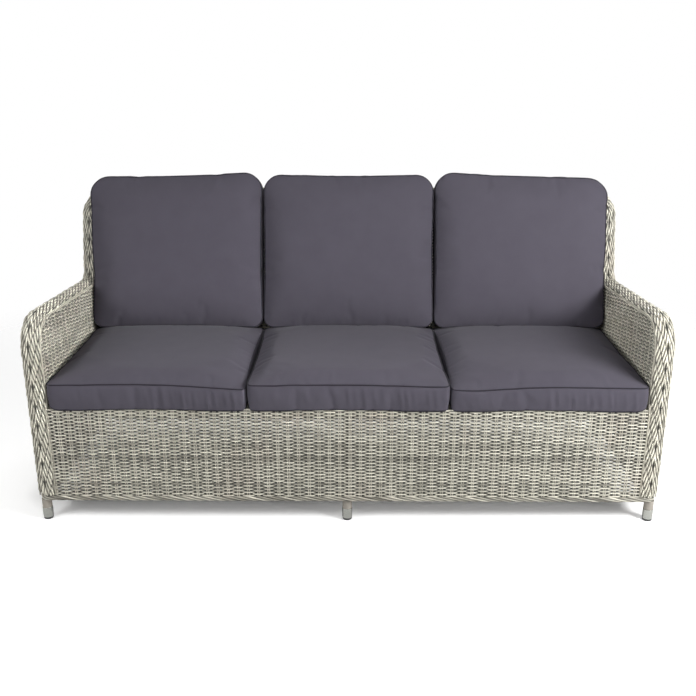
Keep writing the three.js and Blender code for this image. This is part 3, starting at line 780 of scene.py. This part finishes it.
def make_rim():
    """The twisted rim round the rear edges of the back."""
    radius = 4 * MM
    y, z = rear_bend(BACK_THICKNESS)
    sides = {}
    for side in (-1, 1):
        x, inward = side * (outer_x - radius), -side * X
        sides[side] = [((x, rear_y - radius, skirt_foot), inward, Y),
                       ((x, front_y + y - radius, z - 6 * MM), inward, Y),
                       (on_back(x, rise_at(z, BACK_THICKNESS) + 8 * MM, BACK_THICKNESS - radius), inward,
                        -to_sitter)]
    top = top_stations(radius, BACK_THICKNESS - radius, -to_sitter, 13)
    rim = twisted(sides[-1] + top + sides[1][::-1], 2, 60 * MM, 2 * MM, 2 * MM, 6.5 * MM, 4 * MM, 60)
    rim.finish("back_rim", border)


make_side_skins()
make_skirts()
make_back_skins()
make_band()
make_base_rope()
make_deck()
make_rim()


# Feet

def turned_edge(radius, z, fillet, start):
    """Points round the outer edge of a turned body, from this angle on for a quarter."""
    centre = np.array([radius - fillet, z - fillet if start == 0 else z + fillet])
    return [centre + unit(angle) * fillet for angle in np.linspace(start, start + QUARTER, 5)]


def make_feet():
    """Each foot's tube end, sleeve and glide as closed turned bodies with rounded edges."""
    segments, gap, least_bore = 48, 0.3 * MM, 0.2 * MM
    angles = np.arange(segments) * 2 * math.pi / segments
    for place in (f"{row}_{column}" for row in ("front", "rear") for column in ("left", "centre", "right")):
        sleeve_low, sleeve_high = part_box(f"foot_sleeve_{place}")
        for kind, material, slot, wall, foot_fillet, top_fillet in (
                ("leg_end", paint, "frame_paint", 2.4 * MM, 0.4 * MM, 0.4 * MM),
                ("foot_sleeve", aluminium, "foot_aluminium", 2.7 * MM, 1 * MM, 0.8 * MM),
                ("foot_glide", plastic, "glide_plastic", None, 3 * MM, 0.5 * MM)):
            node = f"{kind}_{place}"
            low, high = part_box(node)
            x, y, radius = (low.x + high.x) / 2, (low.y + high.y) / 2, (high.x - low.x) / 2
            foot = sleeve_high.z + gap if kind == "leg_end" else low.z
            top = sleeve_low.z - gap if kind == "foot_glide" else high.z
            bore = radius - wall if wall else least_bore
            profile = [(bore, foot), *turned_edge(radius, foot, foot_fillet, -QUARTER),
                       *turned_edge(radius, top, top_fillet, 0), (bore, top)]
            points = [(x + r * math.cos(a), y + r * math.sin(a), z) for a in angles for r, z in profile]
            piece = make_quads(f"{node}_turned", points, ring_quads(segments, len(profile), True)[:, ::-1])
            dress(piece, material, slot)
            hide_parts(node)


make_feet()


# Cushions: a face panel, boxing and a back panel, sewn at two piped seams

CELL = 10 * MM
BOX_BULGE = 2 * MM
BACK_PANEL_LIFT = 3 * MM
SIDE_PULL = 1.5 * MM
SEAM_INSET = 2.2 * MM
PIPING = 2.3 * MM
SEAT_EDGE, SEAT_CROWN, SEAT_CORNER = 78 * MM, 16 * MM, 18 * MM
BACK_EDGE, BACK_CROWN = 80 * MM, 36 * MM
BACK_LOW_CORNER, BACK_TOP_CORNER = 34 * MM, 66 * MM
CUT_SHARE = 0.7
STANDS_OFF = 0.3 * MM
SEAT_FILL, BACK_FILL = 0.8, 0.7
CLOTH_STEPS = 20
FRONT_LIP_DROP, FRONT_LIP_REACH = 8 * MM, 4.5 * MM


def rounded(a, b, half, low_corner, top_corner):
    """Moves places of a rectangle's grid so that its corners are round and its sides drawn in."""
    radius = np.where(b < 0, low_corner, top_corner)
    u = np.clip((np.abs(a) - half[0] + radius) / radius, 0, 1)
    v = np.clip((np.abs(b) - half[1] + radius) / radius, 0, 1)
    round_a = a + np.sign(a) * radius * (u * np.sqrt(1 - v * v / 2) - u)
    round_b = b + np.sign(b) * radius * (v * np.sqrt(1 - u * u / 2) - v)
    pull_a = SIDE_PULL * np.cos(np.pi * b / half[1] / 2) ** 2 * (a / half[0]) ** 3
    pull_b = SIDE_PULL * np.cos(np.pi * a / half[0] / 2) ** 2 * (b / half[1]) ** 3
    return round_a - pull_a, round_b - pull_b


def grid_lines(half):
    """Places from one side to the other, closer together near the ends."""
    t = np.linspace(-1, 1, 2 * round(half / CELL) + 1)
    return half * (1.12 * t - 0.12 * t ** 3)


class Cover:
    """A cushion's cover as a closed grid in its own frame: a across, b along, c from its back panel."""

    def __init__(self, width, length, edge, crown, low_corner, top_corner):
        self.half = np.array([width / 2 - SEAM_INSET, length / 2 - SEAM_INSET])
        self.edge = edge
        flat_a, flat_b = np.meshgrid(*(grid_lines(h) for h in self.half), indexing="ij")
        a, b = rounded(flat_a, flat_b, self.half, low_corner, top_corner)
        share = (1 - (np.abs(flat_a) / self.half[0]) ** 4) * (1 - (np.abs(flat_b) / self.half[1]) ** 4)
        face = np.stack([a, b, edge + CUT_SHARE * crown * share ** 0.8], -1).reshape(-1, 3)
        lift = BACK_PANEL_LIFT * (1 - np.clip(share * 6, 0, 1))
        back = np.stack([a, b, lift], -1).reshape(-1, 3)
        index = np.arange(a.size).reshape(a.shape)
        loop = np.concatenate([index[:-1, 0], index[-1, :-1], index[:0:-1, -1], index[0, :0:-1]])
        outward = normalised(face[loop, :2] / self.half)
        rings, boxing, count = [loop], [], len(face)
        rows = round(edge / CELL)
        for share in np.arange(1, rows) / rows:
            ring = face[loop] * (1 - share) + back[loop] * share
            ring[:, :2] += outward * BOX_BULGE * math.sin(math.pi * share)
            boxing.append(ring)
            rings.append(count + np.arange(len(loop)))
            count += len(loop)
        rings.append(loop + count)
        self.points = np.concatenate([face, *boxing, back])
        quads = [np.stack([index[:-1, :-1], index[1:, :-1], index[1:, 1:], index[:-1, 1:]], -1).reshape(-1, 4)]
        for upper, lower in zip(rings, rings[1:]):
            quads.append(np.stack([upper, lower, np.roll(lower, -1), np.roll(upper, -1)], -1))
        quads.append(quads[0][:, [0, 3, 2, 1]] + count)
        self.quads = np.concatenate(quads)
        self.seams = [rings[0], rings[-1]]
        self.back = index.ravel() + count


def read_vectors(collection, field):
    values = np.empty(len(collection) * 3, np.float32)
    collection.foreach_get(field, values)
    return values.reshape(-1, 3).astype(float)


def write_points(mesh, co):
    mesh.vertices.foreach_set("co", co.astype(np.float32).ravel())
    mesh.update()


def add_cloth(piece, cover, ease):
    """Air pressure inside a cover whose back panel lies fast and whose seams give a little."""
    pins = piece.vertex_groups.new(name="held")
    pins.add(np.concatenate(cover.seams).tolist(), 0.35, "REPLACE")
    pins.add(cover.back.tolist(), 1.0, "REPLACE")
    cloth = piece.modifiers.new("cloth", "CLOTH")
    for key, value in (("quality", 6), ("mass", 0.3), ("tension_stiffness", 20), ("shear_stiffness", 6),
                       ("compression_stiffness", 12), ("bending_stiffness", 0.4), ("shrink_min", -ease),
                       ("use_pressure", True), ("uniform_pressure_force", 4), ("vertex_group_mass", "held")):
        setattr(cloth.settings, key, value)
    cloth.settings.effector_weights.gravity = 0
    cloth.collision_settings.use_collision = False
    cloth.point_cache.frame_start = 1
    cloth.point_cache.frame_end = CLOTH_STEPS


def simulate(pieces):
    """Steps all covers together and returns where their points end."""
    scene = bpy.context.scene
    for step in range(CLOTH_STEPS):
        scene.frame_set(step + 1)
    graph = bpy.context.evaluated_depsgraph_get()
    ends = [read_vectors(piece.evaluated_get(graph).data.vertices, "co") for piece in pieces]
    for piece in pieces:
        piece.modifiers.clear()
        piece.vertex_groups.clear()
    scene.frame_set(1)
    return ends


def subdivide(piece):
    """One smooth subdivision, with its result as the piece's mesh."""
    modifier = piece.modifiers.new("smooth", "SUBSURF")
    modifier.levels = modifier.render_levels = 1
    graph = bpy.context.evaluated_depsgraph_get()
    mesh = bpy.data.meshes.new_from_object(piece.evaluated_get(graph))
    piece.modifiers.clear()
    piece.data = mesh
    mesh.name = piece.name
    return mesh


def settle_back(co, cover, side):
    """Back cushions lean apart at the top, and the outer ones spread over the arms."""
    a, b = co[:, 0], co[:, 1]
    rise = (b + cover.half[1]) / (2 * cover.half[1])
    co[:, 1] = b - side * 0.028 * a * rise + 4 * MM * rise
    above_arm = np.clip((rise - 0.28) / 0.25, 0, 1)
    outward = np.clip(side * a / cover.half[0], 0, 1) ** 3
    co[:, 0] = a + side * 6 * MM * outward * above_arm
    if side > 0:
        co[:, 1] -= 10 * MM * outward * np.clip(rise, 0, 1) ** 4


def front_sag(a, side):
    """How far the top front seam hangs under its line, along the cushion's width."""
    if side < 0:
        return 14 * MM * np.clip((a + 0.1) / 1.1, 0, 1) ** 1.5
    if side > 0:
        return 6 * MM + 9 * MM * np.exp(-((a + 0.75) / 0.45) ** 2)
    return 3 * MM * np.clip(a, 0, 1)


def settle_seat(co, cover, side):
    """Seat cushions sag over the front rail, hang a lip over its edge and meet off centre. Their lower
    edges are rounder beside the arms."""
    (half_a, half_b), (x, y, z) = cover.half, co.T.copy()
    a, b, c = x / half_a, y / half_b, np.clip(z / cover.edge, 0, 1)
    towards = {0: np.clip(a, 0, 1), 1: np.clip(-a, 0, 1)}.get(side, np.zeros(len(a)))
    co[:, 0] += 8 * MM * towards ** 2 * np.clip(0.6 - 0.4 * b, 0, 1)
    from_front = np.clip(y + half_b, 0, None)
    co[:, 2] -= front_sag(a, side) * c ** 1.5 * np.exp(-(from_front / (110 * MM)) ** 2)
    into_a = np.clip(np.abs(x) - half_a + SEAT_CORNER, 0, SEAT_CORNER)
    into_b = SEAT_CORNER - np.minimum(from_front, SEAT_CORNER)
    inset = np.clip(SEAT_CORNER - np.hypot(into_a, into_b), 0, None)
    at_front = np.clip(into_b / SEAT_CORNER * 2, 0, 1)
    lip = np.exp(-(inset / (2.5 * MM)) ** 2) * (1 - c) * at_front
    beside_arm = np.clip(1 - (half_a - side * x) / (30 * MM), 0, 1) if side else 0
    co[:, 2] -= FRONT_LIP_DROP * lip
    co[:, 2] += 14 * MM * beside_arm ** 2 * (1 - c) ** 3
    co[:, 1] -= FRONT_LIP_REACH * np.sqrt(lip)


def closed_tube(loops, name, radius, sides=8):
    """Round cords along closed loops of (places, outward directions)."""
    points, quads, count = [], [], 0
    angles = (np.arange(sides) * 2 * math.pi / sides)[None, :, None]
    for places, out in loops:
        tangent = normalised(np.roll(places, -1, 0) - np.roll(places, 1, 0))
        across = normalised(np.cross(tangent, out))
        up = np.cross(across, tangent)
        ring = up[:, None] * np.cos(angles) + across[:, None] * np.sin(angles)
        points.append((places[:, None] + ring * radius).reshape(-1, 3))
        quads.append(ring_quads(len(places), sides, True)[:, ::-1] + count)
        count += len(places) * sides
    return make_quads(name, np.concatenate(points), np.concatenate(quads))


def smoothed(values, times=2):
    for _ in range(times):
        values = (np.roll(values, 1, 0) + 2 * values + np.roll(values, -1, 0)) / 4
    return values


def ridges(along, seed, low, high, spacing, width, height):
    """Soft ridges at uneven places between low and high."""
    pick = np.random.default_rng(seed)
    total = np.zeros_like(along)
    for middle in np.arange(low, high, spacing):
        middle = middle + pick.uniform(-0.35, 0.35) * spacing
        size = height * pick.uniform(0.4, 1)
        total += size * np.exp(-((along - middle) / (width * pick.uniform(0.7, 1.3))) ** 2)
    return total


def crease(co, normals, cover, seed, seat):
    """Slack that the sewing leaves: ridges on the boxing and pulls beside the seams."""
    a, b, c = co.T
    half, edge = cover.half, cover.edge
    if seat:
        front = np.clip((-b - half[1] + 12 * MM) / (8 * MM), 0, 1) * np.sin(math.pi * np.clip(c / edge, 0, 1))
        slant = a + 0.12 * (c - edge / 2)
        move = front * ridges(slant, seed, 0.0, 0.27, 26 * MM, 5 * MM, 3.4 * MM)
        move += 0.5 * front * ridges(slant, seed + 1, -0.27, 0, 45 * MM, 8 * MM, 2.4 * MM)
    else:
        face = np.clip((c - edge * 0.9) / (4 * MM), 0, 1)
        near_foot = np.exp(-(b + half[1]) / (16 * MM)) * face
        near_side = np.exp(-(half[0] - np.abs(a)) / (14 * MM)) * face
        move = near_foot * ridges(a, seed, -0.2, 0.25, 34 * MM, 6 * MM, 2.2 * MM)
        move += near_side * ridges(b, seed + 2, -0.2, 0.18, 40 * MM, 7 * MM, 1.6 * MM)
    return co + normals * move[:, None]


def lay_out_cushions():
    """(piece, cover, origin, axes, kind, name) of each cushion, cut flat but closed."""
    (low_x, _, seat_foot), (high_x, seat_rear, _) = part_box("seat_cushion_middle")
    width = high_x - low_x
    seam_rear = np.array([seat_rear - front_y, seat_foot + SEAT_EDGE])
    stand = (seam_rear - elbow) @ unit(back_heading) + 2 * MM
    length = back_rise + 32 * MM - stand
    for name in SEATS:
        low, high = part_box(f"seat_cushion_{name}")
        x = (low.x + high.x) / 2
        on_deck, on_seat = (x, (low.y + high.y) / 2, low.z), on_back(x, stand + length / 2, -STANDS_OFF)
        for kind, origin, axes, *sizes in (
                ("seat", on_deck, (X, Y, Z), high.y - low.y, SEAT_EDGE, SEAT_CROWN, SEAT_CORNER, SEAT_CORNER),
                ("back", on_seat, (X, up_back, to_sitter), length, BACK_EDGE, BACK_CROWN, BACK_LOW_CORNER,
                 BACK_TOP_CORNER)):
            cover = Cover(width, *sizes)
            piece = make_quads(f"{kind}_cover_{name}", cover.points, cover.quads)
            yield piece, cover, np.array(origin), np.array(axes), kind, name


def make_cushions():
    cushions = list(lay_out_cushions())
    for i, (piece, cover, *_) in enumerate(cushions):
        add_cloth(piece, cover, 0.012 + 0.002 * (i % 3))
    for (piece, cover, _, _, kind, _), end in zip(cushions, simulate([piece for piece, *_ in cushions])):
        move = end - cover.points
        reach = np.linalg.norm(move, axis=1, keepdims=True)
        cap = 22 * MM if kind == "seat" else 28 * MM
        write_points(piece.data, cover.points + move * np.minimum(1, cap / np.maximum(reach, 1e-9)))
    for i, (piece, cover, origin, axes, kind, name) in enumerate(cushions):
        seat, body = kind == "seat", f"{kind}_cushion_{name}"
        mesh = subdivide(piece)
        co, normals = read_vectors(mesh.vertices, "co"), read_vectors(mesh.vertex_normals, "vector")
        co = crease(co, normals, cover, 300 + 10 * i, seat)
        limit = cover.half[0] + SEAM_INSET + 0.3 * MM
        co[:, 0] = np.clip(co[:, 0], -limit, limit)
        co[:, 2] = np.maximum(co[:, 2], 0)
        (settle_seat if seat else settle_back)(co, cover, SEATS[name])
        write_points(mesh, co)
        normals = read_vectors(mesh.vertex_normals, "vector")
        loops = []
        for seam in cover.seams:
            out = normalised(smoothed(normals[seam]))
            loops.append((smoothed(co[seam]) + out * 0.6 * MM, out))
        cord = closed_tube(loops, f"{body}_piping", PIPING)
        for part, material in ((piece, fabric), (cord, piping)):
            write_points(part.data, origin + read_vectors(part.data.vertices, "co") @ axes)
            dress(part, material, "cushion_fabric", body)
        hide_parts(body)
        SEAT_FILL if seat else BACK_FILL


make_cushions()


# Plain materials for the frame that shows through the gaps
for name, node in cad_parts.items():
    finishes = (("foot_sleeve", aluminium), ("foot_glide", plastic), ("cushion", fabric))
    node.data.materials.clear()
    node.data.materials.append(next((finish for word, finish in finishes if word in name), paint))


# Stage: a pale floor, a white backdrop and soft lamps

WORLD_LIGHT = 0.24
FLOOR_HALF = 14
FLOOR_GLOW = 0.35
WHITE = (1, 1, 1, 1)


def make_world():
    """A soft light from all round that the camera, glossy surfaces and glass see as plain white."""
    world = bpy.data.worlds.new("studio")
    bpy.context.scene.world = world
    n = Nodes(world)
    path = n.new("LightPath")
    seen = path.outputs["Is Camera Ray"]
    for other in ("Is Glossy Ray", "Is Transmission Ray"):
        seen = n.maths("MAXIMUM", seen, path.outputs[other])
    n.fill(n.tree.nodes["Background"], Color=WHITE,
           Strength=n.maths("MULTIPLY_ADD", seen, 1 - WORLD_LIGHT, WORLD_LIGHT))


def make_floor():
    """A floor with the sofa's shadow, which glows a little for the camera and fades out far away."""
    corners = [(x, y, 0) for x, y in rectangle(FLOOR_HALF, -FLOOR_HALF, FLOOR_HALF)]
    floor = make_object("floor", corners, [0, 1, 2, 3], [0], smooth=False)
    n = Nodes(bpy.data.materials.new("floor"))
    place = n.place()
    split = n.new("SeparateXYZ", place)
    # For the camera the floor gets a painted glow: none within the sofa's footprint, full a little way out, so
    # that the floor under the sofa keeps its shade.
    beyond = [n.maths("SUBTRACT", n.maths("ABSOLUTE", output), reach, clamp=True)
              for output, reach in zip(split.outputs, (outer_x, rear_y - 50 * MM))]
    away = n.maths("MULTIPLY", n.maths("ADD", *beyond), 8.0, clamp=True)
    glow = n.maths("MULTIPLY", n.new("LightPath").outputs["Is Camera Ray"],
                   n.maths("MULTIPLY", away, FLOOR_GLOW))
    n.fill(n.shader, Base_Color=n.mix(n.noise(place, 3.0, 2.0), srgb(250, 250, 250), srgb(253, 253, 253)),
           Roughness=0.9, Specular_IOR_Level=0.1, Emission_Color=WHITE, Emission_Strength=glow)
    far = n.new("VectorMath", place, operation="LENGTH").outputs["Value"]
    fade = n.maths("MULTIPLY_ADD", far, 0.8, -1.2, clamp=True)
    blend = n.new("MixShader", fade, n.shader.outputs[0], n.new("BsdfTransparent").outputs[0])
    n.put(n.tree.nodes["Material Output"].inputs["Surface"], blend.outputs[0])
    floor.data.materials.append(n.owner)


def make_lamp(name, place, target, size, watts, spread=180):
    lamp = bpy.data.lights.new(name, "AREA")
    lamp.shape = "RECTANGLE"
    lamp.size, lamp.size_y = size
    lamp.energy = watts
    lamp.spread = math.radians(spread)
    obj = link(name, lamp)
    obj.location = place
    obj.rotation_euler = (Vector(target) - Vector(place)).to_track_quat("-Z", "Y").to_euler()


def make_camera():
    """The camera that was solved from the photo's landmarks."""
    data = bpy.data.cameras.new("camera")
    data.sensor_width = 36
    data.lens = 44.97
    camera = link("camera", data)
    camera.location = (19.5 * MM, front_y - 2410 * MM, 1404 * MM)
    camera.rotation_euler = (math.radians(90 - 18.89), 0, math.radians(0.4))
    bpy.context.scene.camera = camera


make_world()
make_floor()
make_lamp("key", (0.3, -2.3, 3.4), (0, 0.1, 0.4), (2.4, 1.6), 11)
make_lamp("right", (2.0, -1.35, 1.55), (0.7, 0, 0.5), (0.8, 0.8), 66)
make_lamp("left", (-2.0, -1.4, 1.55), (-0.6, 0, 0.5), (0.9, 0.9), 22)
make_lamp("back", (0.3, -3.0, 2.1), (0.15, 0.2, 0.85), (1.6, 0.3), 1.0, spread=26)
make_lamp("arm_left", (2.6, -1.3, 1.45), (-0.93, -0.05, 0.56), (0.5, 0.3), 1.5, spread=20)
make_lamp("arm_right", (-2.6, -1.3, 1.45), (0.93, -0.05, 0.56), (0.5, 0.3), 0.7, spread=20)
make_lamp("rear", (0.5, 3.2, 3.0), (0, 0, 0.5), (3.0, 2.0), 60)
make_camera()
bpy.context.scene.view_settings.view_transform = "Standard"
